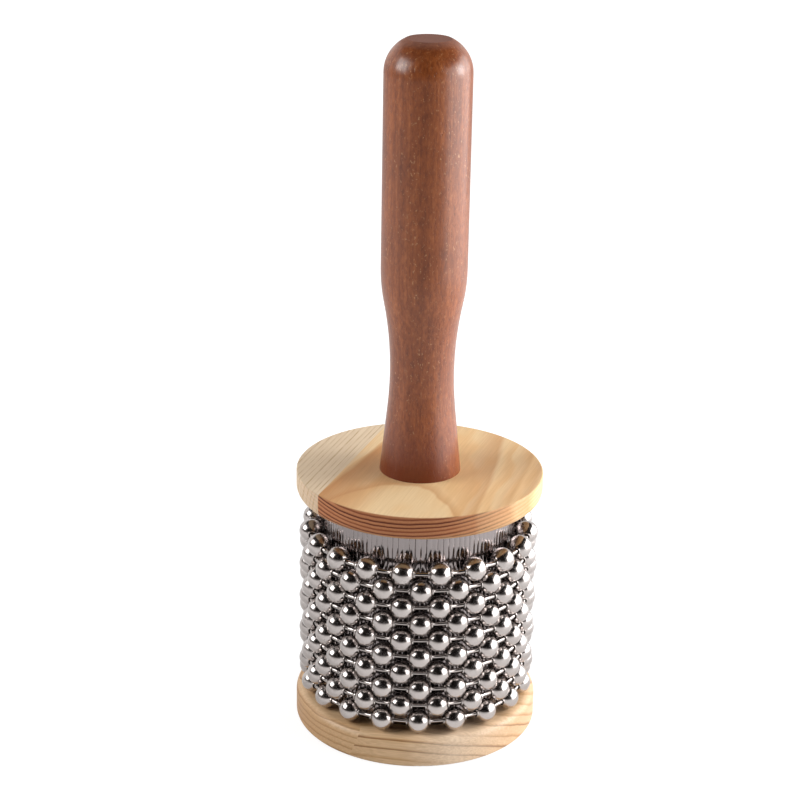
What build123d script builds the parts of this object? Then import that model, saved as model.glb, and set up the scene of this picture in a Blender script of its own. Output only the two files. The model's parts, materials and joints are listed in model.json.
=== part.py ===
from build123d import *
import math
import os

# A small cabasa that stands on its lower disc. All lengths are in millimetres and all angles in degrees.
# The origin is the centre of the lower disc's underside, +Z runs up the handle, and the front faces -Y.

# Wooden discs
disc_diameter = 75.0
bottom_disc_thickness = 9.5
bottom_disc_upper_round = 2.6
bottom_disc_foot_round = 0.8
top_disc_thickness = 7.8
top_disc_upper_round = 0.4
top_disc_lower_round = 3.0

# Drum core and the steel sheet wrapped on it, with flat upright lands and narrow grooves between them
core_diameter = 57.0
sheet_thickness = 0.3
groove_depth = 0.35
groove_width = 0.36
groove_pitch = 1.7
seam_gap = 0.4
seam_strip_width = 2.6
sheet_seat = 0.05
sheet_end_clearance = 0.1

# Tacks along both edges of the seam
tacks_per_edge = 4
tack_end_margin = 8.0
tack_shank_diameter = 0.9
tack_length = 7.0
tack_head_diameter = 1.9
tack_head_thickness = 0.26
tack_head_seat = 0.03
tack_clearance = 0.05

# Ball chains, each a closed loop round the drum
loop_count = 10
ball_diameter = 7.2
ball_wall = 0.4
ball_hole_diameter = 1.9
ball_lip_diameter = 2.5
ball_lip_height = 0.1
link_gap = 3.7
link_diameter = 1.3
link_head_diameter = 2.4
link_head_length = 0.8
link_play = 0.5
front_phase = 2.0
ball_to_sheet_clearance = 0.3
loop_rest_clearance = 0.3
row_gap = 0.5
free_play = 8.6

# Turned handle with a tenon
handle_length = 131.1
handle_foot_diameter = 24.6
handle_waist_diameter = 19.2
handle_waist_height = 31.5
handle_grip_diameter = 25.6
handle_end_diameter = 13.0
flare_arc_radius = 110.0
shoulder_arc_radius = 50.0
dome_arc_radius = 10.6
tenon_diameter = 16.0
tenon_depth_in_core = 12.0
tenon_chamfer = 0.8
tenon_clearance = 0.05
tenon_end_gap = 0.4

# Long wood screw that ties the stack to the handle, and its washer
screw_diameter = 5.0
screw_length = 90.0
screw_tip_length = 7.0
screw_head_diameter = 9.4
screw_head_height = 2.8
screw_head_round = 1.2
cross_slot_width = 1.3
cross_slot_length = 5.2
cross_slot_depth = 1.6
screw_head_recess = 0.5
screw_hole_clearance = 0.25
screw_bite_clearance = 0.05
screw_tip_gap = 1.0
washer_diameter = 12.0
washer_thickness = 1.1
washer_bore_clearance = 0.2
counterbore_clearance = 0.4

# Radii of the drum, from the core outwards
core_radius = core_diameter / 2
valley_radius = core_radius + sheet_seat + sheet_thickness
land_radius = valley_radius + groove_depth
ball_radius = ball_diameter / 2
ring_radius = land_radius + ball_to_sheet_clearance + ball_radius

# A loop has the whole number of balls whose spacing comes nearest to a ball and a link gap
wanted_spacing = ball_diameter + link_gap
balls_per_loop = round(math.pi / math.asin(wanted_spacing / (2 * ring_radius)))
ball_turn = 360 / balls_per_loop
half_turn = math.radians(ball_turn / 2)
ball_spacing = 2 * ring_radius * math.sin(half_turn)

# Neighbouring rows are staggered by half a ball turn and keep row_gap between their balls
stagger_chord = 2 * ring_radius * math.sin(half_turn / 2)
row_pitch = math.sqrt((ball_diameter + row_gap) ** 2 - stagger_chord ** 2)
stack_height = ball_diameter + row_pitch * (loop_count - 1)
drum_height = loop_rest_clearance + stack_height + free_play

# Heights of the stack
core_floor = bottom_disc_thickness
core_top = core_floor + drum_height
handle_foot = core_top + top_disc_thickness
handle_top = handle_foot + handle_length
first_row = core_floor + loop_rest_clearance + ball_radius

# Screw stack, from the underside of the lower disc
counterbore_depth = screw_head_recess + screw_head_height + washer_thickness
screw_seat = screw_head_recess + screw_head_height
screw_tip = screw_seat + screw_length
screw_hole_radius = screw_diameter / 2 + screw_hole_clearance


def around(radius, angle, height=0.0):
    """Point at an angle from the front, counted towards +X."""
    turn = math.radians(angle)
    return (radius * math.sin(turn), -radius * math.cos(turn), height)


def upright(radius, low, high):
    """Round bar on the Z axis between two heights."""
    return Pos(0, 0, low) * Cylinder(radius, high - low, align=(Align.CENTER, Align.CENTER, Align.MIN))


def radial_bar(radius, angle, height, inner, outer):
    """Round bar that points outward at an angle and a height, between two distances from the Z axis."""
    bar = Cylinder(radius, outer - inner, align=(Align.CENTER, Align.CENTER, Align.MIN))
    return Pos(*around(inner, angle, height)) * Rot(0, 0, angle) * Rot(90, 0, 0) * bar


def save(name, *solids):
    """Write one named piece, or a group of like pieces, to its own file."""
    shape = solids[0] if len(solids) == 1 else Compound(label=name, children=list(solids))
    export_step(shape, f"parts/{name}.step")


def rounded_disc(low, thickness, lower_round, upper_round):
    """Wooden disc with both of its rim edges rounded."""
    disc = upright(disc_diameter / 2, low, low + thickness)
    disc = fillet(disc.edges().filter_by(GeomType.CIRCLE).sort_by(Axis.Z)[0], lower_round)
    return fillet(disc.edges().filter_by(GeomType.CIRCLE).sort_by(Axis.Z)[-1], upper_round)


def bottom_disc():
    """Thick lower disc with the counterbored screw hole."""
    disc = rounded_disc(0, bottom_disc_thickness, bottom_disc_foot_round, bottom_disc_upper_round)
    counterbore = upright(washer_diameter / 2 + counterbore_clearance, 0, counterbore_depth)
    return disc - counterbore - upright(screw_hole_radius, 0, bottom_disc_thickness)


def top_disc():
    """Thinner upper disc with the hole for the handle's tenon."""
    disc = rounded_disc(core_top, top_disc_thickness, top_disc_lower_round, top_disc_upper_round)
    return disc - upright(tenon_diameter / 2 + tenon_clearance, core_top, handle_foot)


def seam_angles():
    """Angles from the back at which the sheet's seam strips begin and end."""
    edge = math.degrees(seam_gap / 2 / valley_radius)
    return edge, edge + math.degrees(seam_strip_width / valley_radius)


def tack_places():
    """Angle and height of every tack, in the middle of the seam strips."""
    offset = sum(seam_angles()) / 2
    run = drum_height - 2 * tack_end_margin
    heights = [core_floor + tack_end_margin + run * i / (tacks_per_edge - 1) for i in range(tacks_per_edge)]
    return [(angle, height) for angle in (180 - offset, 180 + offset) for height in heights]


def tack_holes(inner, outer):
    """Bars that drill the holes of all tacks between two distances from the axis."""
    radius = tack_shank_diameter / 2 + tack_clearance
    return [radial_bar(radius, angle, height, inner, outer) for angle, height in tack_places()]


def drum_core():
    """Wooden drum with the tenon's socket, the screw's bore and the tacks' holes."""
    socket = upright(tenon_diameter / 2 + tenon_clearance, core_top - tenon_depth_in_core, core_top)
    bore = upright(screw_hole_radius, core_floor, core_top)
    tack_floor = valley_radius + tack_head_seat - tack_length - tack_clearance
    return upright(core_radius, core_floor, core_top) - socket - bore - tack_holes(tack_floor, valley_radius)


def lands(radius_drop, start, end, count):
    """Section of the sheet's lands and grooves, as deep inside the outer face as radius_drop says."""
    step = (end - start) / count
    half_groove = math.degrees(groove_width / 2 / land_radius)
    points = [around(valley_radius - radius_drop, start)]
    for i in range(count):
        angle = start + step * i
        points.append(around(land_radius - radius_drop, angle + half_groove))
        points.append(around(land_radius - radius_drop, angle + step - half_groove))
        points.append(around(valley_radius - radius_drop, angle + step))
    return Polyline(*points)


def strip(radius, start, end):
    """Arc of a plain seam strip."""
    return ThreePointArc(around(radius, start), around(radius, (start + end) / 2), around(radius, end))


def steel_sleeve():
    """Thin sheet with upright lands and grooves, wrapped once round the core and butted at the back."""
    edge, first_groove = seam_angles()
    arc_length = math.radians(360 - 2 * first_groove) * land_radius
    count = round(arc_length / groove_pitch)
    section = Curve()
    for drop in (0, sheet_thickness):
        radius = valley_radius - drop
        section += strip(radius, edge - 180, first_groove - 180)
        section += lands(drop, first_groove - 180, 180 - first_groove, count)
        section += strip(radius, 180 - first_groove, 180 - edge)
    for end in (edge - 180, 180 - edge):
        section += Line(around(valley_radius, end), around(valley_radius - sheet_thickness, end))
    low = core_floor + sheet_end_clearance
    sheet = Pos(0, 0, low) * extrude(make_face(section), amount=drum_height - 2 * sheet_end_clearance)
    return sheet - tack_holes(core_radius, land_radius)


def sheet_tacks():
    """Short flat-headed tacks at both edges of the sheet's seam."""
    seat = valley_radius + tack_head_seat
    tacks = []
    for angle, height in tack_places():
        shank = radial_bar(tack_shank_diameter / 2, angle, height, seat - tack_length, seat)
        head = radial_bar(tack_head_diameter / 2, angle, height, seat, seat + tack_head_thickness)
        tacks.append(shank + head)
    return tacks


def handle_outline():
    """Half section of the handle: tenon, flared foot, waist, straight grip, domed end."""
    foot_radius = handle_foot_diameter / 2
    waist_radius = handle_waist_diameter / 2
    grip_radius = handle_grip_diameter / 2
    end_radius = handle_end_diameter / 2
    tenon_radius = tenon_diameter / 2
    tenon_end = core_top - tenon_depth_in_core + tenon_end_gap
    waist = handle_foot + handle_waist_height

    # The flare is an arc about the waist, and a straight taper runs from the foot to touch it
    reach_r = waist_radius + flare_arc_radius - foot_radius
    reach_z = waist - handle_foot
    reach = math.hypot(reach_r, reach_z)
    taper = math.sqrt(reach ** 2 - flare_arc_radius ** 2)
    lean = math.atan2(reach_z, reach_r) + math.asin(flare_arc_radius / reach)
    touch = (foot_radius + taper * math.cos(lean), handle_foot + taper * math.sin(lean))

    # The shoulder is an opposite arc that ends upright, at the lower end of the grip
    arcs_sum = flare_arc_radius + shoulder_arc_radius
    rise = math.sqrt(arcs_sum ** 2 - (arcs_sum - grip_radius + waist_radius) ** 2)
    sweep = math.asin(rise / arcs_sum)
    turn_r = waist_radius + flare_arc_radius * (1 - math.cos(sweep))
    turn = (turn_r, waist + flare_arc_radius * math.sin(sweep))
    shoulder_r = grip_radius - shoulder_arc_radius * (1 - math.cos(sweep / 2))
    shoulder = (shoulder_r, waist + rise - shoulder_arc_radius * math.sin(sweep / 2))
    grip_low = (grip_radius, waist + rise)

    # The dome springs upright from the grip and is cut by the flat end
    dome_turn = math.acos(1 - (grip_radius - end_radius) / dome_arc_radius)
    grip_high = (grip_radius, handle_top - dome_arc_radius * math.sin(dome_turn))
    dome_r = grip_radius - dome_arc_radius * (1 - math.cos(dome_turn / 2))
    dome = (dome_r, grip_high[1] + dome_arc_radius * math.sin(dome_turn / 2))
    end = (end_radius, handle_top)

    outline = Polyline(
        (0, handle_top),
        (0, tenon_end),
        (tenon_radius - tenon_chamfer, tenon_end),
        (tenon_radius, tenon_end + tenon_chamfer),
        (tenon_radius, handle_foot),
        (foot_radius, handle_foot),
        touch,
    )
    outline += ThreePointArc(touch, (waist_radius, waist), turn)
    outline += ThreePointArc(turn, shoulder, grip_low)
    outline += Line(grip_low, grip_high)
    outline += ThreePointArc(grip_high, dome, end)
    outline += Line(end, (0, handle_top))
    return outline


def handle():
    """Turned handle with its tenon and the pilot hole for the screw."""
    turned = revolve(Plane.XZ * make_face(handle_outline()), Axis.Z)
    pilot = upright(screw_diameter / 2 + screw_bite_clearance, core_floor, screw_tip + screw_tip_gap)
    return turned - pilot


def tie_screw():
    """Long pan-headed wood screw, head down, with a cross slot and a pointed tip."""
    radius = screw_diameter / 2
    head = upright(screw_head_diameter / 2, screw_head_recess, screw_seat)
    head = fillet(head.edges().filter_by(GeomType.CIRCLE).sort_by(Axis.Z)[0], screw_head_round)
    point = screw_tip - screw_tip_length
    tip = Pos(0, 0, point) * Cone(radius, 0, screw_tip_length, align=(Align.CENTER, Align.CENTER, Align.MIN))
    slot = Box(cross_slot_length, cross_slot_width, 2 * cross_slot_depth)
    cross = Pos(0, 0, screw_head_recess) * (slot + Rot(0, 0, 90) * slot)
    return head + upright(radius, screw_seat, point) + tip - cross


def screw_washer():
    """Flat washer between the screw's head and the floor of the counterbore."""
    ring = upright(washer_diameter / 2, screw_seat, counterbore_depth)
    return ring - upright(screw_diameter / 2 + washer_bore_clearance, screw_seat, counterbore_depth)


def chain_ball():
    """Hollow steel ball, with a lipped hole at each side along X."""
    lip = Rot(0, 90, 0) * Cylinder(ball_lip_diameter / 2, ball_diameter + 2 * ball_lip_height)
    hole = Rot(0, 90, 0) * Cylinder(ball_hole_diameter / 2, 2 * ball_diameter)
    return Sphere(ball_radius) + lip - Sphere(ball_radius - ball_wall) - hole


def chain_link():
    """Dumbbell link along X: a thin shank, and a head inside the ball at each end."""
    inner_radius = ball_radius - ball_wall
    head_radius = link_head_diameter / 2
    head_face = math.sqrt(inner_radius ** 2 - head_radius ** 2) - link_play
    shank = Rot(0, 90, 0) * Cylinder(link_diameter / 2, ball_spacing - 2 * head_face)
    head_centre = (ball_spacing + link_head_length) / 2 - head_face
    head = Rot(0, 90, 0) * Cylinder(head_radius, link_head_length)
    return shank + Pos(head_centre, 0, 0) * head + Pos(-head_centre, 0, 0) * head


def chain_places(row):
    """Places of a row's balls and links. The links run between the holes, outside the line of the centres."""
    height = first_row + row_pitch * row
    hole_reach = ball_radius - ball_wall / 2
    link_radius = ring_radius * math.cos(half_turn) + hole_reach * math.sin(half_turn)
    stagger = ball_turn / 2 * (row % 2)
    balls = []
    links = []
    for i in range(balls_per_loop):
        angle = front_phase + stagger + ball_turn * i
        middle = angle + ball_turn / 2
        balls.append(Location(around(ring_radius, angle, height), (0, 0, angle)))
        links.append(Location(around(link_radius, middle, height), (0, 0, middle)))
    return balls, links


def main():
    os.makedirs("parts", exist_ok=True)
    save("bottom_disc", bottom_disc())
    save("drum_core", drum_core())
    save("steel_sleeve", steel_sleeve())
    save("sheet_tacks", *sheet_tacks())
    save("top_disc", top_disc())
    save("handle", handle())
    save("tie_screw", tie_screw())
    save("screw_washer", screw_washer())
    ball = chain_ball()
    link = chain_link()
    for row in range(loop_count):
        ball_places, link_places = chain_places(row)
        save(f"chain_{row + 1:02d}_balls", *[place * ball for place in ball_places])
        save(f"chain_{row + 1:02d}_links", *[place * link for place in link_places])


main()
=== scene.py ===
"""Looks of a small cabasa: turned handle, two pine discs, a fluted steel drum and ten loops of ball chain."""

import json
import math
import random

import bmesh
import bpy
from mathutils import Matrix, Vector

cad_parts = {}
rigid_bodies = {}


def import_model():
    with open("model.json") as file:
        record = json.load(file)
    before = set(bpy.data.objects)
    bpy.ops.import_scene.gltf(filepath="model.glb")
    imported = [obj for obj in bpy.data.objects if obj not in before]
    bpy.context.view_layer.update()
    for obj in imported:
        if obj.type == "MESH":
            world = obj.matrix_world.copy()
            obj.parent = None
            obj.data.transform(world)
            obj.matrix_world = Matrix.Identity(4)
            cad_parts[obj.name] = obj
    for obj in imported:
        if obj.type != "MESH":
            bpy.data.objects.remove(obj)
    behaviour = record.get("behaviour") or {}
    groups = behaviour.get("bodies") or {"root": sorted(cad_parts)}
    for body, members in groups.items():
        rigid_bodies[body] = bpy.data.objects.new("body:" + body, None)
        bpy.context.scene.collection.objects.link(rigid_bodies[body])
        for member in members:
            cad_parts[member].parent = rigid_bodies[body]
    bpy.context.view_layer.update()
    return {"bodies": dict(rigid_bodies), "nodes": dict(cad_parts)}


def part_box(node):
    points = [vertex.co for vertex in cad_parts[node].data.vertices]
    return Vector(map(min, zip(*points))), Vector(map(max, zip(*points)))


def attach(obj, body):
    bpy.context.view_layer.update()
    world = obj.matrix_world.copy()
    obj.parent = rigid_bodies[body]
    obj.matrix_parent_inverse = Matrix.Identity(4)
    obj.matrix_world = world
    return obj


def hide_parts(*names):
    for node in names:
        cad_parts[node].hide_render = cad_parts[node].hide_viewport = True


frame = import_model()

# Lengths are in metres and angles in degrees, in the frame of the CAD model.
# Textures count in millimetres, and the floor's glow in metres.
MM = 0.001
UP = (0.0, 0.0, 1.0)
WHITE = (1.0, 1.0, 1.0)

# Camera at the photograph's viewing angle
IMAGE_PIXELS = 800
FOCAL_PIXELS = 2068.4
SENSOR_WIDTH_MM = 36.0
CAMERA_DISTANCE = 621.6 * MM
CAMERA_PITCH = 20.906
CAMERA_ROLL = 1.02
CAMERA_PAN = 0.591
CAMERA_AIM_HEIGHT = 104.06 * MM
CAMERA_NEAREST = 10 * MM

# Chain loops
BALLS_PER_LOOP = 19
FRONT_PHASE = 2.0
RING_RADIUS = 33.1 * MM
BALL_RADIUS = 3.6 * MM
BALL_WALL = 0.4 * MM
BALL_HOLE_RADIUS = 0.95 * MM
BALL_LIP_RADIUS = 1.25 * MM
BALL_LIP_HEIGHT = 0.1 * MM
BALL_RING_STEPS = 48
BALL_ARC_STEPS = 26
LINK_RADIUS = 0.65 * MM
LINK_HEAD_RADIUS = 1.2 * MM
LINK_HEAD_LENGTH = 0.8 * MM
LINK_PLAY = 0.5 * MM
LINK_RING_STEPS = 24
LINK_EDGE = 0.12 * MM

# Fluted sheet: flat lands between fine grooves, from seam to seam
SHEET_RADIUS = 28.85 * MM
SHEET_INNER_RADIUS = 28.55 * MM
SHEET_EDGE = 179.6
LAND_RADIUS = 29.2 * MM
LAND_END = 174.44
LAND_COUNT = 105
LAND_STEPS = 6
LAND_LEAN = 0.07 * MM
LAND_CROWN = 0.05 * MM
FLUTE_DEPTH = 0.16 * MM
FLUTE_WIDTH = 0.3 * MM
LAND_SEED = 11

# Edges sharper than these angles stay sharp in smooth shading
CHAIN_SHARP_ANGLE = 50.0
SHEET_SHARP_ANGLE = 30.0
NODE_SHARP_ANGLE = 35.0

# Range that holds most of a noise texture's values
NOISE_SPAN = (0.3, 0.7)


class Graph:
    """Node tree of one material, with a short call for each kind of node that the materials share."""

    def __init__(self, tree):
        self.tree = tree
        tree.nodes.clear()

    def add(self, kind, **settings):
        node = self.tree.nodes.new(kind)
        for name, value in settings.items():
            setattr(node, name, value)
        return node

    def feed(self, socket, value):
        """Link an output to an input, or set the input's own value."""
        if isinstance(value, bpy.types.NodeSocket):
            self.tree.links.new(value, socket)
        else:
            socket.default_value = value

    def math(self, operation, *values):
        node = self.add("ShaderNodeMath", operation=operation)
        for socket, value in zip(node.inputs, values):
            self.feed(socket, value)
        return node.outputs["Value"]

    def plus(self, first, second):
        return self.math("ADD", first, second)

    def minus(self, first, second):
        return self.math("SUBTRACT", first, second)

    def times(self, first, second):
        return self.math("MULTIPLY", first, second)

    def over(self, first, second):
        return self.math("DIVIDE", first, second)

    def dot(self, vector, direction):
        node = self.add("ShaderNodeVectorMath", operation="DOT_PRODUCT")
        self.feed(node.inputs[0], vector)
        self.feed(node.inputs[1], direction)
        return node.outputs["Value"]

    def stretch(self, vector, factors):
        """Coordinates multiplied by one factor for each axis."""
        node = self.add("ShaderNodeVectorMath", operation="MULTIPLY")
        self.feed(node.inputs[0], vector)
        self.feed(node.inputs[1], factors)
        return node.outputs["Vector"]

    def join(self, x, y, z):
        node = self.add("ShaderNodeCombineXYZ")
        for socket, value in zip(node.inputs, (x, y, z)):
            self.feed(socket, value)
        return node.outputs["Vector"]

    def noise(self, vector, scale=1.0, detail=2.0, roughness=0.5, distortion=0.0):
        """Noise about 0.5, between 0 and 1."""
        node = self.add("ShaderNodeTexNoise")
        self.feed(node.inputs["Vector"], vector)
        self.feed(node.inputs["Scale"], scale)
        self.feed(node.inputs["Detail"], detail)
        self.feed(node.inputs["Roughness"], roughness)
        self.feed(node.inputs["Distortion"], distortion)
        return node.outputs["Fac"]

    def random(self, value):
        """Random number from 0 to 1 that belongs to a value."""
        node = self.add("ShaderNodeTexWhiteNoise", noise_dimensions="1D")
        self.feed(node.inputs["W"], value)
        return node.outputs["Value"]

    def span(self, value, low, high, to_low=0.0, to_high=1.0, smooth=False):
        """Value moved from one range to another and held inside it."""
        node = self.add("ShaderNodeMapRange", interpolation_type="SMOOTHSTEP" if smooth else "LINEAR")
        for name, number in (("From Min", low), ("From Max", high), ("To Min", to_low), ("To Max", to_high)):
            self.feed(node.inputs[name], number)
        self.feed(node.inputs["Value"], value)
        return node.outputs["Result"]

    def ramp(self, factor, stops):
        """Colour ramp from (place, colour) stops."""
        node = self.add("ShaderNodeValToRGB")
        elements = node.color_ramp.elements
        while len(elements) < len(stops):
            elements.new(0.5)
        for element, (place, colour) in zip(elements, stops):
            element.position = place
            element.color = (*colour, 1.0)
        self.feed(node.inputs["Fac"], factor)
        return node.outputs["Color"]

    def blend(self, factor, first, second, mode="MIX"):
        """Two colours mixed, as RGB tuples or outputs."""
        node = self.add("ShaderNodeMix", data_type="RGBA", blend_type=mode)
        self.feed(node.inputs["Factor"], factor)
        for socket, value in zip((node.inputs["A"], node.inputs["B"]), (first, second)):
            self.feed(socket, (*value, 1.0) if isinstance(value, tuple) else value)
        return node.outputs["Result"]

    def choose(self, factor, first, second):
        """Two values mixed by a factor."""
        node = self.add("ShaderNodeMix", data_type="FLOAT")
        self.feed(node.inputs["Factor"], factor)
        self.feed(node.inputs["A"], first)
        self.feed(node.inputs["B"], second)
        return node.outputs["Result"]

    def bump(self, height, distance):
        node = self.add("ShaderNodeBump")
        self.feed(node.inputs["Strength"], 1.0)
        self.feed(node.inputs["Distance"], distance)
        self.feed(node.inputs["Height"], height)
        return node.outputs["Normal"]

    def surface(self, **inputs):
        """Principled surface, with spaces in its socket names written as underscores."""
        shader = self.add("ShaderNodeBsdfPrincipled")
        for name, value in inputs.items():
            self.feed(shader.inputs[name.replace("_", " ")], value)
        output = self.add("ShaderNodeOutputMaterial")
        self.feed(output.inputs["Surface"], shader.outputs["BSDF"])


def new_graph(name):
    """New material and the graph of its nodes."""
    material = bpy.data.materials.new(name)
    material.use_nodes = True
    return material, Graph(material.node_tree)


def srgb(red, green, blue):
    """Linear colour from 8-bit sRGB values."""
    def linear(value):
        value /= 255
        return value / 12.92 if value <= 0.04045 else ((value + 0.055) / 1.055) ** 2.4
    return tuple(linear(value) for value in (red, green, blue))


def shaded(colour, share):
    """Darker shade of a colour."""
    return tuple(share * part for part in colour)


def object_millimetres(graph):
    """Object coordinates in millimetres, and the surface's own direction."""
    place = graph.add("ShaderNodeTexCoord")
    return graph.stretch(place.outputs["Object"], (1 / MM,) * 3), place.outputs["Normal"]


def direction(azimuth):
    """Level unit vector, counted from +Y towards +X."""
    turn = math.radians(azimuth)
    return (math.sin(turn), math.cos(turn), 0.0)


# Steel: tint, middle roughness, its spread and the grain of the handling marks
BALL_STEEL = ((0.53, 0.485, 0.466), 0.2, 0.12, 0.5)
# The links' steel is darker than the balls': partly their own tint, partly painted shade where they sit back
# between the balls.
LINK_STEEL_WITH_PAINTED_SHADE = ((0.42, 0.38, 0.362), 0.16, 0.06, 0.9)
FASTENER_STEEL = (srgb(190, 186, 176), 0.3, 0.08, 0.8)
FINE_MARKS = 9.0
HAZE_SHADE = 0.93
MARK_SPAN = (0.35, 0.65)
MARK_DEPTH = 0.003 * MM


def steel(name, tint, roughness, spread, grain):
    """Bare polished metal with faint handling marks."""
    material, graph = new_graph(name)
    place, _ = object_millimetres(graph)
    haze = graph.noise(place, grain, detail=4.0, roughness=0.6)
    fine = graph.noise(place, grain * FINE_MARKS)
    marks = graph.choose(0.5, haze, fine)
    graph.surface(
        Base_Color=graph.blend(graph.span(haze, *NOISE_SPAN), tint, shaded(tint, HAZE_SHADE)),
        Metallic=1.0,
        Roughness=graph.span(marks, *MARK_SPAN, roughness - spread, roughness + spread),
        Normal=graph.bump(fine, MARK_DEPTH),
    )
    return material


SHEET_TINT = (0.31, 0.274, 0.27)
SHEET_SHADE = 0.88
SHEET_MARKS = (2.5, 2.5, 0.2)
SHEET_RIPPLE = (0.9, 0.9, 0.12)
SHEET_ROUGHNESS = (0.08, 0.18)
RIPPLE_DEPTH = 0.05 * MM


def sheet_steel():
    """Bright sheet with faint upright rolling marks."""
    material, graph = new_graph("sheet_steel")
    place, _ = object_millimetres(graph)
    marks = graph.noise(graph.stretch(place, SHEET_MARKS), detail=4.0)
    ripple = graph.noise(graph.stretch(place, SHEET_RIPPLE))
    graph.surface(
        Base_Color=graph.blend(marks, SHEET_TINT, shaded(SHEET_TINT, SHEET_SHADE)),
        Metallic=1.0,
        Roughness=graph.span(marks, *NOISE_SPAN, *SHEET_ROUGHNESS),
        Normal=graph.bump(ripple, RIPPLE_DEPTH),
    )
    return material


RING_DRIFT = 0.23
FAINTEST_YEAR = 0.65


def year_rings(graph, distance, spacing, seed_place, wander):
    """Place inside a year's growth, from 0 to 1, and how dark that year is.

    The distance is counted across the rings.
    """
    slow = graph.noise(graph.join(graph.times(distance, RING_DRIFT), 0.0, seed_place), detail=0.0)
    year = graph.plus(graph.over(distance, spacing), graph.times(slow, wander))
    strength = graph.span(graph.random(graph.math("FLOOR", year)), 0.0, 1.0, FAINTEST_YEAR, 1.0)
    return graph.math("FRACT", year), strength


def late_wood(graph, rings, start, peak, end):
    """Share of dark late wood: it grows from start to peak and stops short at the end of the year."""
    part, strength = rings
    rise = graph.span(part, start, peak, smooth=True)
    fall = graph.span(part, end, 1.0, 1.0, 0.0, smooth=True)
    return graph.times(graph.times(rise, fall), strength)


# Top disc: its boards, year rings and tones
TOP_DISC_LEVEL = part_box("top_disc")[1].z / MM
TOP_GRAIN = 18.1
TOP_JOINT = -21.2
GLUE_LINE = 0.05
TOP_WAVE_STRETCH = (1.0, 0.12, 1.0)
TOP_WAVE_SCALE = 0.11
TOP_RING_MIDDLE = 4.0
TOP_RING_RADIUS = 150.0
TOP_RING_SLOPE = 0.021
TOP_RING_SPACING = 1.25
TOP_RING_PHASE = 1.36
TOP_RING_WAVE = 0.9
TOP_RING_SEED = 3.1
TOP_RING_WANDER = 0.8
TOP_END_LATE = (0.32, 0.78, 0.87)
TOP_FACE_LATE = (0.1, 0.7, 0.75)
TOP_FACE_SWIRL = 2.4
SWIRL_ACROSS = 0.07
SWIRL_ALONG = 0.03
SWIRL_SEED = 2.0
SIDE_RING_SPACING = 1.75
SIDE_RING_SLOPE = 0.25
SIDE_RING_WAVE = 1.6
SIDE_RING_SEED = 7.7
SIDE_LATE = (0.6, 0.88, 0.93)
SIDE_BREAKS = (1.4, 0.16, 1.0)
BREAK_SPAN = (0.4, 0.58)
BREAK_STRENGTHS = (0.3, 1.0)
SIDE_END_SHARE = 0.25
TOP_END_FACING = (0.2, 0.85)
TOP_FIBRE = (2.6, 0.07, 2.6)
TOP_FACE_TONES = ((0.0, srgb(242, 211, 165)), (0.5, srgb(241, 205, 155)), (1.0, srgb(237, 195, 142)))
TOP_SIDE_TONES = ((0.0, srgb(236, 214, 185)), (0.6, srgb(218, 191, 154)), (1.0, srgb(199, 168, 129)))
TOP_END_TONES = ((0.0, srgb(196, 131, 90)), (0.5, srgb(160, 95, 61)), (1.0, srgb(86, 42, 25)))
TOP_FIBRE_TONES = ((0.3, srgb(238, 233, 226)), (0.7, WHITE))
FIBRE_SHARE = 0.8
TOP_ROUGHNESS = (0.58, 0.7)
TOP_SPECULAR = 0.25
TOP_FIBRE_RELIEF = 0.25
TOP_RELIEF = 0.08 * MM

# Ochre figure of the top disc's face: start, slope, width, side of the sharp edge and share of each band. The
# first band, wide from the joint to the handle, is partly ochre figure and partly the handle's painted
# shadow.
TOP_BANDS_AND_HANDLE_SHADOW = (
    # Partly ochre along the joint, partly the handle's painted shadow on its left
    (-17.8, 0.1, 18.0, -1.0, 0.9),
    (21.7, -0.17, 8.0, 1.0, 0.6),
    (31.7, -0.11, 6.0, 1.0, 0.45),
    (35.8, -0.1, 3.0, 1.0, 0.5),
)
OCHRE_AND_SHADOW_TONE = srgb(205, 146, 93)
BAND_EDGE = 1.5
BAND_WAVE = 6.0
ARCH_TOP = -13.0
ARCH_MIDDLE = 2.5
ARCH_ROUND = 19.0
ARCH_WIDTH = 5.0
ARCH_SHARE = 0.55


def ochre_and_shadow_band(graph, along, across, start, slope, width, side):
    """Darker band of a plain-sawn face: ochre figure, and in the first band also the handle's painted shadow.

    It ends short at across = start + slope * along and fades the other way.
    """
    line = graph.plus(graph.times(along, slope), start)
    beside = graph.times(graph.minus(across, line), side)
    return graph.times(graph.span(beside, -width, 0.0), graph.span(beside, 0.0, BAND_EDGE, 1.0, 0.0))


def ochre_arch(graph, along, across):
    """Darker arch of a plain-sawn face, which opens towards the front and fades towards the back."""
    offset = graph.minus(across, ARCH_MIDDLE)
    sag = graph.over(graph.times(offset, offset), ARCH_ROUND)
    behind = graph.minus(graph.plus(along, sag), ARCH_TOP)
    edge = graph.span(behind, -BAND_EDGE, 0.0)
    return graph.times(edge, graph.span(behind, 0.0, ARCH_WIDTH, 1.0, 0.0))


def plain_sawn_face(graph, late, along, across, wave):
    """Colour of a plain-sawn face, with its ochre bands and arch; its first band also paints the handle's
    shadow.
    """
    colour = graph.ramp(late, TOP_FACE_TONES)
    shake = graph.times(wave, BAND_WAVE)
    shaken = graph.plus(across, shake)
    # The first band paints the handle's shadow as well as ochre figure.
    for start, slope, width, side, share in TOP_BANDS_AND_HANDLE_SHADOW:
        band = ochre_and_shadow_band(graph, along, shaken, start, slope, width, side)
        colour = graph.blend(graph.times(band, share), colour, OCHRE_AND_SHADOW_TONE)
    arch = ochre_arch(graph, graph.plus(along, shake), across)
    return graph.blend(graph.times(arch, ARCH_SHARE), colour, OCHRE_AND_SHADOW_TONE)


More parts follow.
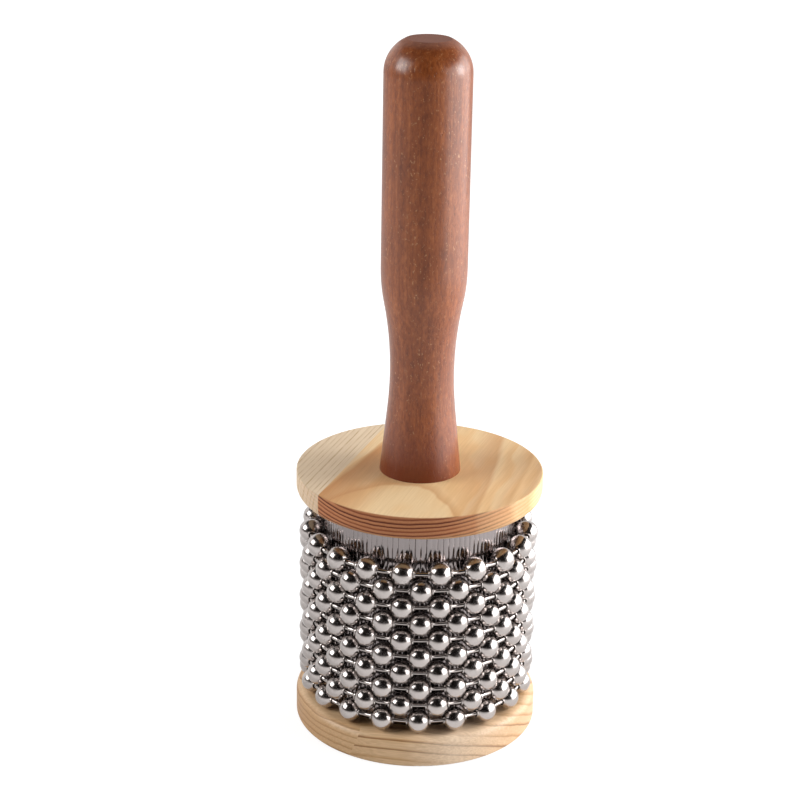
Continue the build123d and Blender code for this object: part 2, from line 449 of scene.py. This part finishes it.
def top_pine():
    """Two glued pine boards: a plain-sawn one, and a quarter-sawn strip at the left with straight lines."""
    material, graph = new_graph("pine_two_boards")
    place, normal = object_millimetres(graph)
    along = graph.dot(place, direction(TOP_GRAIN))
    across = graph.dot(place, direction(TOP_GRAIN + 90))
    depth = graph.minus(TOP_DISC_LEVEL, graph.dot(place, UP))
    grain_place = graph.join(across, along, depth)
    wave = graph.minus(graph.noise(graph.stretch(grain_place, TOP_WAVE_STRETCH), TOP_WAVE_SCALE), 0.5)

    offset = graph.minus(across, TOP_RING_MIDDLE)
    bowl = graph.over(graph.times(offset, offset), 2 * TOP_RING_RADIUS)
    rise = graph.times(along, TOP_RING_SLOPE)
    distance = graph.plus(graph.plus(depth, bowl), graph.plus(rise, TOP_RING_PHASE))
    distance = graph.plus(distance, graph.times(wave, TOP_RING_WAVE))
    rings = year_rings(graph, distance, TOP_RING_SPACING, TOP_RING_SEED, TOP_RING_WANDER)
    end_late = late_wood(graph, rings, *TOP_END_LATE)
    swirl_place = graph.join(graph.times(across, SWIRL_ACROSS), graph.times(along, SWIRL_ALONG), SWIRL_SEED)
    swirled = graph.plus(distance, graph.times(graph.noise(swirl_place), TOP_FACE_SWIRL))
    face_rings = year_rings(graph, swirled, TOP_RING_SPACING, TOP_RING_SEED, TOP_RING_WANDER)
    face_late = late_wood(graph, face_rings, *TOP_FACE_LATE)

    straight = graph.plus(across, graph.times(depth, SIDE_RING_SLOPE))
    straight = graph.plus(straight, graph.times(wave, SIDE_RING_WAVE))
    side_rings = year_rings(graph, straight, SIDE_RING_SPACING, SIDE_RING_SEED, TOP_RING_WANDER)
    side_late = late_wood(graph, side_rings, *SIDE_LATE)
    breaks = graph.noise(graph.stretch(grain_place, SIDE_BREAKS))
    side_late = graph.times(side_late, graph.span(breaks, *BREAK_SPAN, *BREAK_STRENGTHS))

    board = graph.span(across, TOP_JOINT - GLUE_LINE, TOP_JOINT + GLUE_LINE)
    facing = graph.math("ABSOLUTE", graph.dot(normal, direction(TOP_GRAIN)))
    end_grain = graph.span(facing, *TOP_END_FACING)
    end_share = graph.choose(board, graph.times(end_grain, SIDE_END_SHARE), end_grain)

    face = plain_sawn_face(graph, face_late, along, across, wave)
    lengthwise = graph.blend(board, graph.ramp(side_late, TOP_SIDE_TONES), face)
    colour = graph.blend(end_share, lengthwise, graph.ramp(end_late, TOP_END_TONES))
    fibre = graph.noise(graph.stretch(grain_place, TOP_FIBRE), detail=3.0)
    colour = graph.blend(FIBRE_SHARE, colour, graph.ramp(fibre, TOP_FIBRE_TONES), mode="MULTIPLY")

    relief = graph.plus(graph.times(end_late, end_share), graph.times(fibre, TOP_FIBRE_RELIEF))
    graph.surface(
        Base_Color=colour,
        Roughness=graph.span(fibre, *NOISE_SPAN, *TOP_ROUGHNESS),
        Specular_IOR_Level=TOP_SPECULAR,
        Normal=graph.bump(relief, TOP_RELIEF),
    )
    return material


# Bottom disc: its grain, finger joint and tones
BOTTOM_GRAIN = 98.8
BOTTOM_WAVE_STRETCH = (0.2, 1.0, 1.0)
BOTTOM_WAVE_SCALE = 0.12
BOTTOM_RING_SLOPE = 0.47
BOTTOM_RING_SPACING = 3.4
BOTTOM_RING_PHASE = 0.6
BOTTOM_RING_WAVE = 1.6
BOTTOM_RING_SEED = 1.3
BOTTOM_RING_WANDER = 0.35
BOTTOM_LATE = (0.56, 0.88, 0.93)
LEFT_RING_SLOPE = 0.06
LEFT_RING_SPACING = 0.62 * BOTTOM_RING_SPACING
LEFT_RING_WAVE = 2.0
LEFT_RING_SEED = 5.9
LEFT_LATE = (0.5, 0.86, 0.92)
FINGER_JOINT = -18.0
FINGER_LEAN = 0.35
FINGER_MIDDLE = 4.75
BOTTOM_FIBRE = (0.08, 2.4, 2.4)
BOTTOM_FACE_TONES = ((0.0, srgb(234, 199, 157)), (0.6, srgb(218, 178, 131)), (1.0, srgb(158, 112, 68)))
BOTTOM_END_TONES = ((0.0, srgb(226, 186, 148)), (0.6, srgb(206, 159, 117)), (1.0, srgb(142, 94, 58)))
BOTTOM_END_SHARE = 0.7
BOTTOM_FIBRE_TONES = ((0.3, srgb(226, 218, 208)), (0.7, WHITE))
# Painted shade on the bottom disc's rim, darker towards the left, where less light reaches its sides.
LEFT_RIM_PAINTED_SHADE_TONE = srgb(222, 210, 188)
LEFT_RIM_SHADE_SPAN = (-36.0, 0.0)
RIM_SHADE_FACING = (0.3, 0.9)
# Painted light: a pale pinkish patch on the bottom disc's right part, where the right soft box and the floor
# light it.
PAINTED_LIGHT_TONE = srgb(250, 230, 208)
PAINTED_LIGHT_SHARE = 0.55
PAINTED_LIGHT_START = (2.0, 16.0)
PAINTED_LIGHT_END = (18.0, 34.0)
BOTTOM_ROUGHNESS = (0.4, 0.52)
BOTTOM_LATE_RELIEF = 0.4
BOTTOM_FIBRE_RELIEF = 0.3
BOTTOM_RELIEF = 0.06 * MM


def bottom_pine():
    """Pale pine with its grain from side to side, and a finger joint at the left."""
    material, graph = new_graph("pine_finger_jointed")
    place, normal = object_millimetres(graph)
    along = graph.dot(place, direction(BOTTOM_GRAIN))
    across = graph.dot(place, direction(BOTTOM_GRAIN + 90))
    height = graph.dot(place, UP)
    grain_place = graph.join(along, across, height)
    wave = graph.minus(graph.noise(graph.stretch(grain_place, BOTTOM_WAVE_STRETCH), BOTTOM_WAVE_SCALE), 0.5)

    tilted = graph.minus(graph.times(across, BOTTOM_RING_SLOPE), height)
    tilted = graph.plus(graph.plus(tilted, BOTTOM_RING_PHASE), graph.times(wave, BOTTOM_RING_WAVE))
    main_rings = year_rings(graph, tilted, BOTTOM_RING_SPACING, BOTTOM_RING_SEED, BOTTOM_RING_WANDER)
    main_late = late_wood(graph, main_rings, *BOTTOM_LATE)
    level = graph.minus(graph.times(across, LEFT_RING_SLOPE), height)
    level = graph.plus(level, graph.times(wave, LEFT_RING_WAVE))
    left_rings = year_rings(graph, level, LEFT_RING_SPACING, LEFT_RING_SEED, BOTTOM_RING_WANDER)
    left_late = late_wood(graph, left_rings, *LEFT_LATE)

    side = graph.dot(place, (1.0, 0.0, -FINGER_LEAN))
    joint = FINGER_JOINT - FINGER_LEAN * FINGER_MIDDLE
    board = graph.span(side, joint - GLUE_LINE, joint + GLUE_LINE)
    late = graph.choose(board, left_late, main_late)
    facing = graph.dot(normal, direction(BOTTOM_GRAIN))
    end_share = graph.times(graph.times(facing, facing), BOTTOM_END_SHARE)

    face = graph.ramp(late, BOTTOM_FACE_TONES)
    colour = graph.blend(end_share, face, graph.ramp(late, BOTTOM_END_TONES))
    # Painted shade: the rim darkens towards the left.
    leftward_shade = graph.span(along, *LEFT_RIM_SHADE_SPAN, 1.0, 0.0)
    on_rim = graph.span(graph.dot(normal, UP), *RIM_SHADE_FACING, 1.0, 0.0)
    colour = graph.blend(graph.times(leftward_shade, on_rim), colour, LEFT_RIM_PAINTED_SHADE_TONE, mode="MULTIPLY")
    # Painted light on the right part of the disc.
    painted_light_end = graph.span(along, *PAINTED_LIGHT_END, 1.0, 0.0)
    painted_light_patch = graph.times(graph.span(along, *PAINTED_LIGHT_START), painted_light_end)
    colour = graph.blend(graph.times(painted_light_patch, PAINTED_LIGHT_SHARE), colour, PAINTED_LIGHT_TONE)
    fibre = graph.noise(graph.stretch(grain_place, BOTTOM_FIBRE), detail=3.0)
    colour = graph.blend(FIBRE_SHARE, colour, graph.ramp(fibre, BOTTOM_FIBRE_TONES), mode="MULTIPLY")

    late_relief = graph.times(late, BOTTOM_LATE_RELIEF)
    relief = graph.plus(late_relief, graph.times(fibre, BOTTOM_FIBRE_RELIEF))
    graph.surface(
        Base_Color=colour,
        Roughness=graph.span(fibre, *NOISE_SPAN, *BOTTOM_ROUGHNESS),
        Normal=graph.bump(relief, BOTTOM_RELIEF),
    )
    return material


# Handle: stretch of each kind of mark, and tones
HANDLE_STREAKS = (0.42, 0.42, 0.009)
HANDLE_FIBRES = (2.4, 2.4, 0.06)
HANDLE_CLOUDS = (0.16, 0.16, 0.07)
HANDLE_MOTTLE = (1.3, 1.3, 0.45)
HANDLE_PORES = (2.2, 2.2, 0.9)
HANDLE_FLECKS = (1.5, 1.5, 1.0)
STREAK_SHARE = 0.6
HANDLE_TONES = ((0.3, srgb(146, 77, 37)), (0.5, srgb(166, 92, 48)), (0.7, srgb(188, 112, 64)))
CLOUD_TONES = ((0.3, srgb(222, 214, 208)), (0.7, WHITE))
MOTTLE_TONES = ((0.35, srgb(206, 194, 186)), (0.65, WHITE))
COARSE_SPAN = (0.42, 0.58)
SPECK_SPAN = (0.6, 0.7)
FEWEST_SPECKS = 0.35
PORE_TONE = srgb(88, 42, 20)
PORE_SHARE = 0.45
FLECK_TONE = srgb(208, 156, 112)
FLECK_SHARE = 0.6
# Painted shade at the handle's foot: darker towards the top disc, and less on the right side, which faces the
# brighter soft box.
FOOT_PAINTED_SHADE_TONE = srgb(106, 40, 10)
FOOT_SHADE_HEIGHT = 20.0
FOOT_SHADE_FACING = (0.35, 0.85)
FOOT_SHADE_SHARES = (0.9, 0.3)
# Flat end: partly the end grain's own tone, partly a painted sheen of the bright backdrop behind.
HANDLE_END_AND_SHEEN_TONE = srgb(146, 98, 82)
HANDLE_END_SHARE = 0.8
HANDLE_END_FACING = (0.75, 0.98)
HANDLE_ROUGHNESS = (0.3, 0.9)
HANDLE_SPECULAR = 0.56
MOTTLE_RELIEF = 0.6
HANDLE_RELIEF = 0.03 * MM


def handle_wood():
    """Stained and waxed hardwood: long streaks, short dark pores and small pale flecks, all along Z."""
    material, graph = new_graph("stained_hardwood")
    place, normal = object_millimetres(graph)
    streak = graph.noise(graph.stretch(place, HANDLE_STREAKS), detail=3.0, distortion=0.3)
    fibre = graph.noise(graph.stretch(place, HANDLE_FIBRES), detail=3.0)
    cloud = graph.noise(graph.stretch(place, HANDLE_CLOUDS), detail=3.0)
    mottle = graph.noise(graph.stretch(place, HANDLE_MOTTLE), detail=4.0, roughness=0.65)
    pores = graph.noise(graph.stretch(place, HANDLE_PORES))
    flecks = graph.noise(graph.stretch(place, HANDLE_FLECKS), detail=3.0, roughness=0.6)

    tone = graph.plus(graph.times(streak, STREAK_SHARE), graph.times(fibre, 1 - STREAK_SHARE))
    colour = graph.ramp(tone, HANDLE_TONES)
    colour = graph.blend(1.0, colour, graph.ramp(cloud, CLOUD_TONES), mode="MULTIPLY")
    colour = graph.blend(1.0, colour, graph.ramp(mottle, MOTTLE_TONES), mode="MULTIPLY")
    coarse = graph.span(cloud, *COARSE_SPAN)
    dark = graph.times(graph.span(pores, *SPECK_SPAN), graph.span(coarse, 0.0, 1.0, FEWEST_SPECKS, 1.0))
    colour = graph.blend(graph.times(dark, PORE_SHARE), colour, PORE_TONE)
    pale = graph.times(graph.span(flecks, *SPECK_SPAN), graph.span(coarse, 0.0, 1.0, 1.0, FEWEST_SPECKS))
    colour = graph.blend(graph.times(pale, FLECK_SHARE), colour, FLECK_TONE)
    # Painted shade: the handle darkens towards the disc, less where its surface faces right.
    level = graph.dot(place, UP)
    foot = graph.span(level, TOP_DISC_LEVEL, TOP_DISC_LEVEL + FOOT_SHADE_HEIGHT, 1.0, 0.0, smooth=True)
    rightward = graph.dot(normal, direction(90))
    foot_shade_share = graph.span(rightward, *FOOT_SHADE_FACING, *FOOT_SHADE_SHARES, smooth=True)
    colour = graph.blend(graph.times(foot, foot_shade_share), colour, FOOT_PAINTED_SHADE_TONE)
    end_grain = graph.span(graph.dot(normal, UP), *HANDLE_END_FACING)
    # The flat end's tone is partly end grain and partly painted sheen.
    colour = graph.blend(graph.times(end_grain, HANDLE_END_SHARE), colour, HANDLE_END_AND_SHEEN_TONE)

    relief = graph.minus(graph.times(mottle, MOTTLE_RELIEF), dark)
    graph.surface(
        Base_Color=colour,
        Roughness=graph.span(end_grain, 0.0, 1.0, *HANDLE_ROUGHNESS),
        Specular_IOR_Level=HANDLE_SPECULAR,
        Normal=graph.bump(relief, HANDLE_RELIEF),
    )
    return material


CORE_GRAIN = (1.2, 0.5, 0.05)
CORE_TONES = ((0.3, srgb(176, 132, 88)), (0.7, srgb(212, 172, 124)))
CORE_ROUGHNESS = (0.6, 0.75)
CORE_RELIEF = 0.05 * MM


def core_wood():
    """Plain pale wood of the drum, with upright grain."""
    material, graph = new_graph("plain_core_wood")
    place, _ = object_millimetres(graph)
    grain = graph.noise(graph.stretch(place, CORE_GRAIN), detail=4.0, distortion=0.4)
    graph.surface(
        Base_Color=graph.ramp(grain, CORE_TONES),
        Roughness=graph.span(grain, *NOISE_SPAN, *CORE_ROUGHNESS),
        Normal=graph.bump(grain, CORE_RELIEF),
    )
    return material


def lathe(profile, steps, closed):
    """Points and faces turned round the X axis from (x, radius) points.

    A closed profile meets itself, an open one ends on X.
    """
    points = []
    rings = []
    for x, radius in profile:
        if radius == 0.0:
            rings.append([len(points)] * steps)
            points.append((x, 0.0, 0.0))
            continue
        rings.append(list(range(len(points), len(points) + steps)))
        for step in range(steps):
            turn = 2 * math.pi * step / steps
            points.append((x, radius * math.cos(turn), radius * math.sin(turn)))
    following_rings = rings[1:] + rings[:1] if closed else rings[1:]
    faces = []
    for first, second in zip(rings, following_rings):
        for step in range(steps):
            following = (step + 1) % steps
            corners = (first[step], first[following], second[following], second[step])
            faces.append(tuple(dict.fromkeys(corners)))
    return points, faces


def arc(radius, start_radius, steps):
    """Points of a half circle about the origin, from +X to -X.

    It starts and ends at a distance from the axis.
    """
    start = math.asin(start_radius / radius)
    sweep = math.pi - 2 * start
    turns = [start + sweep * i / steps for i in range(steps + 1)]
    return [(radius * math.cos(turn), radius * math.sin(turn)) for turn in turns]


def mirrored(profile):
    """The same profile on the other side of the middle, in the reverse order."""
    return [(-x, radius) for x, radius in reversed(profile)]


def ball_shape():
    """Hollow ball with a rounded lip at each of its two holes on X."""
    outside = arc(BALL_RADIUS, BALL_LIP_RADIUS, BALL_ARC_STEPS)
    inside = arc(BALL_RADIUS - BALL_WALL, BALL_HOLE_RADIUS, BALL_ARC_STEPS // 2)
    lip_face = BALL_RADIUS + BALL_LIP_HEIGHT
    edge = BALL_LIP_HEIGHT / 2
    lip = [
        (lip_face - BALL_WALL, BALL_HOLE_RADIUS),
        (lip_face - edge, BALL_HOLE_RADIUS),
        (lip_face, BALL_HOLE_RADIUS + edge),
        (lip_face, BALL_LIP_RADIUS - edge),
        (lip_face - edge, BALL_LIP_RADIUS),
    ]
    return lathe(lip + outside + mirrored(lip) + list(reversed(inside)), BALL_RING_STEPS, closed=True)


def link_shape(spacing):
    """Dumbbell link along X, with its heads inside the balls."""
    inner = BALL_RADIUS - BALL_WALL
    reach = spacing / 2 - math.sqrt(inner ** 2 - LINK_HEAD_RADIUS ** 2) + LINK_PLAY
    end = reach + LINK_HEAD_LENGTH
    half = [
        (end, 0.0),
        (end, LINK_HEAD_RADIUS - LINK_EDGE),
        (end - LINK_EDGE, LINK_HEAD_RADIUS),
        (reach + LINK_EDGE, LINK_HEAD_RADIUS),
        (reach, LINK_HEAD_RADIUS - LINK_EDGE),
        (reach, LINK_RADIUS + LINK_EDGE),
        (reach - LINK_EDGE, LINK_RADIUS),
    ]
    return lathe(half + mirrored(half), LINK_RING_STEPS, closed=False)


def new_mesh(name, points, faces, sharp_angle):
    """Mesh whose faces are turned outwards and smooth, apart from edges sharper than an angle."""
    mesh = bpy.data.meshes.new(name)
    mesh.from_pydata(points, [], faces)
    shape = bmesh.new()
    shape.from_mesh(mesh)
    bmesh.ops.recalc_face_normals(shape, faces=shape.faces)
    shape.to_mesh(mesh)
    shape.free()
    mesh.shade_smooth()
    mesh.set_sharp_from_angle(angle=math.radians(sharp_angle))
    return mesh


def ring_mesh(name, shape, radius, start):
    """One mesh of equal pieces spread evenly round the Z axis."""
    shape_points, shape_faces = shape
    points = []
    faces = []
    for i in range(BALLS_PER_LOOP):
        turn = Matrix.Rotation(math.radians(start + 360 / BALLS_PER_LOOP * i), 4, "Z")
        place = turn @ Matrix.Translation((0.0, -radius, 0.0))
        base = len(points)
        points += [place @ Vector(point) for point in shape_points]
        faces += [[base + corner for corner in face] for face in shape_faces]
    return new_mesh(name, points, faces, CHAIN_SHARP_ANGLE)


def add_object(name, mesh, material):
    """New object of a mesh, in one material."""
    piece = bpy.data.objects.new(name, mesh)
    bpy.context.scene.collection.objects.link(piece)
    mesh.materials.clear()
    mesh.materials.append(material)
    return piece


def add_chains(ball_material, link_material):
    """Ten loops of ball chain. Each second loop is turned by half a ball's share of the ring."""
    ball_turn = 360 / BALLS_PER_LOOP
    half_turn = math.radians(ball_turn / 2)
    spacing = 2 * RING_RADIUS * math.sin(half_turn)
    hole_reach = BALL_RADIUS - BALL_WALL / 2
    link_ring = RING_RADIUS * math.cos(half_turn) + hole_reach * math.sin(half_turn)
    ball = ball_shape()
    link = link_shape(spacing)
    ball_meshes = []
    link_meshes = []
    for parity in (0, 1):
        start = FRONT_PHASE + ball_turn / 2 * parity
        ball_meshes.append(ring_mesh(f"chain_balls_{parity}", ball, RING_RADIUS, start))
        link_meshes.append(ring_mesh(f"chain_links_{parity}", link, link_ring, start + ball_turn / 2))
    kinds = (
        ("balls", ball_meshes, ball_material, "ball_steel"),
        ("links", link_meshes, link_material, "link_steel"),
    )
    loops = sorted(body for body in frame["bodies"] if body.startswith("chain_"))
    for row, body in enumerate(loops):
        low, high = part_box(f"{body}_balls")
        for kind, meshes, material, slot in kinds:
            piece = add_object(f"{body}_{kind}_polished", meshes[row % 2], material)
            piece.location = (0.0, 0.0, (low.z + high.z) / 2)
            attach(piece, body)
            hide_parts(f"{body}_{kind}")


def sheet_outline():
    """(angle, radius) points of the sheet's outer face from seam to seam.

    Each land leans a little its own way.
    """
    draw = random.Random(LAND_SEED)
    step = 2 * LAND_END / LAND_COUNT
    half_flute = math.degrees(FLUTE_WIDTH / 2 / LAND_RADIUS)
    points = [(-SHEET_EDGE, SHEET_RADIUS), (-LAND_END, SHEET_RADIUS)]
    for number in range(LAND_COUNT):
        start = -LAND_END + step * number
        lean = draw.uniform(-LAND_LEAN, LAND_LEAN)
        for i in range(LAND_STEPS + 1):
            part = i / LAND_STEPS
            drop = LAND_CROWN * (2 * part - 1) ** 2 + lean * (part - 0.5)
            points.append((start + half_flute + part * (step - 2 * half_flute), LAND_RADIUS - drop))
        points.append((start + step, LAND_RADIUS - FLUTE_DEPTH))
    points[-1] = (LAND_END, SHEET_RADIUS)
    points.append((SHEET_EDGE, SHEET_RADIUS))
    return points


def add_sheet(material):
    """Fluted sheet round the drum, open at its seam at the back."""
    low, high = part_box("steel_sleeve")
    outside = sheet_outline()
    inside = [(angle, SHEET_INNER_RADIUS) for angle, _ in outside]
    points = []
    for level in (low.z, high.z):
        for angle, radius in outside + inside:
            turn = math.radians(angle)
            points.append((radius * math.sin(turn), -radius * math.cos(turn), level))
    count = len(outside)
    bottom_out, bottom_in, top_out, top_in = (range(count * i, count * (i + 1)) for i in range(4))
    walls = ((bottom_out, top_out), (top_out, top_in), (top_in, bottom_in), (bottom_in, bottom_out))
    faces = []
    for first, second in walls:
        faces += [(first[i], first[i + 1], second[i + 1], second[i]) for i in range(count - 1)]
    for i in (0, count - 1):
        faces.append((bottom_out[i], top_out[i], top_in[i], bottom_in[i]))
    mesh = new_mesh("fluted_sheet", points, faces, SHEET_SHARP_ANGLE)
    sheet = add_object("steel_sleeve_fluted", mesh, material)
    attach(sheet, "frame")
    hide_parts("steel_sleeve")


def dress_node(name, material):
    """Material and even smooth shading for a CAD node that stays."""
    node = frame["nodes"][name]
    node.data.materials.clear()
    node.data.materials.append(material)
    node.data.shade_smooth()
    node.data.set_sharp_from_angle(angle=math.radians(NODE_SHARP_ANGLE))
    even = node.modifiers.new("even_normals", "WEIGHTED_NORMAL")
    even.keep_sharp = True


# Stage: light from all around, the floor, and a dark dome that the steel reflects
AMBIENT = 0.54
FLOOR_SIZE = 40.0
FLOOR_DROP = 0.05 * MM
FLOOR_ALBEDO = 0.68
FLOOR_DIFFUSE_SHARE = 0.42
FLOOR_GLOW_SPAN = (0.1, 0.4)
FLOOR_GLOW = (1.45, 1.72)
FLOOR_MIRRORED_ALBEDO = 0.95
FLOOR_MIRRORED_SHARE = 0.12
DOME_RADIUS = 2.2
DOME_STEPS = 48
CURTAIN_HALF_WIDTH = 108.0
CURTAIN_FOOT = 0.5
CURTAIN_PALE_FOOT = 0.5
CEILING_EDGE = 38.0
DOME_TOP = 90.0
CLOTH_WEAVE = 0.01
CLOTH_TONES = ((0.3, srgb(34, 27, 25)), (0.7, srgb(46, 37, 34)))
CLOTH_FOOT_TONE = srgb(238, 228, 224)
CLOTH_ROUGHNESS = 0.9

# Soft boxes: azimuth, height, distance, width and height of the light, and its power
LIGHT_AIM = Vector((0.0, 0.0, 0.1))
SOFT_BOXES = {
    "left_box": (-77.0, 28.0, 0.9, (0.58, 0.44), 5.2),
    "left_core": (-84.0, 23.0, 0.88, (0.17, 0.17), 0.5),
    "right_box": (90.0, 12.5, 0.5, (0.85, 0.43), 4.4),
    "right_core": (93.0, 20.0, 0.48, (0.17, 0.15), 1.0),
}


def white_world():
    """White surroundings for the camera and in reflections, dimmer as light on the object."""
    world = bpy.data.worlds.new("white_studio")
    bpy.context.scene.world = world
    world.use_nodes = True
    graph = Graph(world.node_tree)
    path = graph.add("ShaderNodeLightPath")
    reflected = graph.math("MAXIMUM", path.outputs["Is Glossy Ray"], path.outputs["Is Transmission Ray"])
    seen = graph.math("MAXIMUM", path.outputs["Is Camera Ray"], reflected)
    background = graph.add("ShaderNodeBackground")
    graph.feed(background.inputs["Strength"], graph.span(seen, 0.0, 1.0, AMBIENT, 1.0))
    background.inputs["Color"].default_value = (*WHITE, 1.0)
    output = graph.add("ShaderNodeOutputWorld")
    graph.feed(output.inputs["Surface"], background.outputs["Background"])


def floor_paint():
    """White floor that keeps the shadow near the object and runs out to plain white."""
    material, graph = new_graph("white_floor")
    length = graph.add("ShaderNodeVectorMath", operation="LENGTH")
    graph.feed(length.inputs[0], graph.add("ShaderNodeTexCoord").outputs["Object"])
    glow = graph.span(length.outputs["Value"], *FLOOR_GLOW_SPAN, *FLOOR_GLOW, smooth=True)
    path = graph.add("ShaderNodeLightPath")
    straight = graph.math("MAXIMUM", path.outputs["Is Camera Ray"], path.outputs["Is Transmission Ray"])
    reflected = path.outputs["Is Glossy Ray"]
    matte = graph.add("ShaderNodeBsdfDiffuse")
    graph.feed(matte.inputs["Color"], graph.choose(reflected, FLOOR_ALBEDO, FLOOR_MIRRORED_ALBEDO))
    shine = graph.add("ShaderNodeEmission")
    graph.feed(shine.inputs["Strength"], glow)
    both = graph.add("ShaderNodeMixShader")
    straight_share = graph.times(straight, 1 - FLOOR_DIFFUSE_SHARE)
    reflected_share = graph.times(reflected, FLOOR_MIRRORED_SHARE)
    graph.feed(both.inputs["Fac"], graph.plus(straight_share, reflected_share))
    graph.feed(both.inputs[1], matte.outputs["BSDF"])
    graph.feed(both.inputs[2], shine.outputs["Emission"])
    output = graph.add("ShaderNodeOutputMaterial")
    graph.feed(output.inputs["Surface"], both.outputs["Shader"])
    return material


def add_floor():
    """Level floor, a hair below the object's underside."""
    half = FLOOR_SIZE / 2
    corners = [(x, y, -FLOOR_DROP) for x, y in ((-half, -half), (half, -half), (half, half), (-half, half))]
    mesh = bpy.data.meshes.new("floor")
    mesh.from_pydata(corners, [], [(0, 1, 2, 3)])
    add_object("floor", mesh, floor_paint())


def dome_part(name, width_from, width_to, foot, top, material):
    """Part of a dome round the set.

    It lies between two azimuths from the camera's side and two heights, all in degrees.
    """
    points = []
    for i in range(DOME_STEPS + 1):
        height = math.radians(foot + (top - foot) * i / DOME_STEPS)
        level = DOME_RADIUS * math.cos(height)
        for j in range(DOME_STEPS + 1):
            turn = math.radians(width_from + (width_to - width_from) * j / DOME_STEPS)
            points.append((level * math.sin(turn), -level * math.cos(turn), DOME_RADIUS * math.sin(height)))
    faces = []
    row = DOME_STEPS + 1
    for i in range(DOME_STEPS):
        for j in range(DOME_STEPS):
            corner = i * row + j
            faces.append((corner, corner + 1, corner + row + 1, corner + row))
    mesh = bpy.data.meshes.new(name)
    mesh.from_pydata(points, [], faces)
    dome = add_object(name, mesh, material)
    dome.visible_camera = False
    return dome


def add_curtain():
    """Dark cloth on the camera's side and overhead, which the steel reflects between the two soft boxes."""
    material, graph = new_graph("dark_cloth")
    place, _ = object_millimetres(graph)
    cloth = graph.ramp(graph.noise(place, CLOTH_WEAVE), CLOTH_TONES)
    foot = graph.span(graph.dot(place, (0.0, 0.0, MM)), 0.0, CURTAIN_PALE_FOOT, 1.0, 0.0, smooth=True)
    graph.surface(Base_Color=graph.blend(foot, cloth, CLOTH_FOOT_TONE), Roughness=CLOTH_ROUGHNESS)
    dome_part("curtain", -CURTAIN_HALF_WIDTH, CURTAIN_HALF_WIDTH, CURTAIN_FOOT, DOME_TOP, material)
    far_side = 360 - CURTAIN_HALF_WIDTH
    ceiling = dome_part("ceiling", CURTAIN_HALF_WIDTH, far_side, CEILING_EDGE, DOME_TOP, material)
    ceiling.visible_diffuse = False
    ceiling.visible_shadow = False


def add_soft_box(name, azimuth, height, distance, size, power):
    """Rectangular soft light at an azimuth from the camera's side, counted to the right."""
    light = bpy.data.lights.new(name, "AREA")
    light.shape = "RECTANGLE"
    light.size, light.size_y = size
    light.energy = power
    lamp = bpy.data.objects.new(name, light)
    bpy.context.scene.collection.objects.link(lamp)
    turn = math.radians(azimuth)
    rise = math.radians(height)
    offset = Vector((math.sin(turn) * math.cos(rise), -math.cos(turn) * math.cos(rise), math.sin(rise)))
    lamp.location = LIGHT_AIM + distance * offset
    lamp.rotation_euler = offset.to_track_quat("Z", "Y").to_euler()
    lamp.visible_camera = False


def add_camera():
    """Camera in front of the object, looking down at it and turned a little about its own line of sight."""
    pitch = math.radians(CAMERA_PITCH)
    roll = math.radians(CAMERA_ROLL)
    aim = Vector((-CAMERA_DISTANCE * math.tan(math.radians(CAMERA_PAN)), 0.0, CAMERA_AIM_HEIGHT))
    rise = CAMERA_AIM_HEIGHT + CAMERA_DISTANCE * math.sin(pitch)
    place = Vector((0.0, -CAMERA_DISTANCE * math.cos(pitch), rise))
    ahead = (aim - place).normalized()
    level = ahead.cross(Vector(UP)).normalized()
    upward = level.cross(ahead)
    right = math.cos(roll) * level + math.sin(roll) * upward
    top = math.cos(roll) * upward - math.sin(roll) * level
    lens = bpy.data.cameras.new("camera")
    lens.sensor_width = SENSOR_WIDTH_MM
    lens.lens = FOCAL_PIXELS / IMAGE_PIXELS * SENSOR_WIDTH_MM
    lens.clip_start = CAMERA_NEAREST
    camera = bpy.data.objects.new("camera", lens)
    bpy.context.scene.collection.objects.link(camera)
    axes = Matrix((right, top, -ahead)).transposed()
    camera.matrix_world = Matrix.Translation(place) @ axes.to_4x4()
    bpy.context.scene.camera = camera


def build_object():
    """Materials for the CAD nodes that stay, and the pieces that replace others."""
    fastener = steel("zinc_plated_steel", *FASTENER_STEEL)
    dress_node("handle", handle_wood())
    dress_node("top_disc", top_pine())
    dress_node("bottom_disc", bottom_pine())
    dress_node("drum_core", core_wood())
    add_sheet(sheet_steel())
    for name in ("sheet_tacks", "tie_screw", "screw_washer"):
        dress_node(name, fastener)
    balls = steel("polished_ball_steel", *BALL_STEEL)
    # Link steel: partly its own tint, partly painted shade.
    links = steel("polished_link_steel_painted_shade", *LINK_STEEL_WITH_PAINTED_SHADE)
    add_chains(balls, links)


def build_stage():
    """Floor, surroundings, lamps and camera."""
    bpy.context.scene.view_settings.view_transform = "Standard"
    white_world()
    add_floor()
    add_curtain()
    for name, settings in SOFT_BOXES.items():
        add_soft_box(name, *settings)
    add_camera()


build_object()
build_stage()
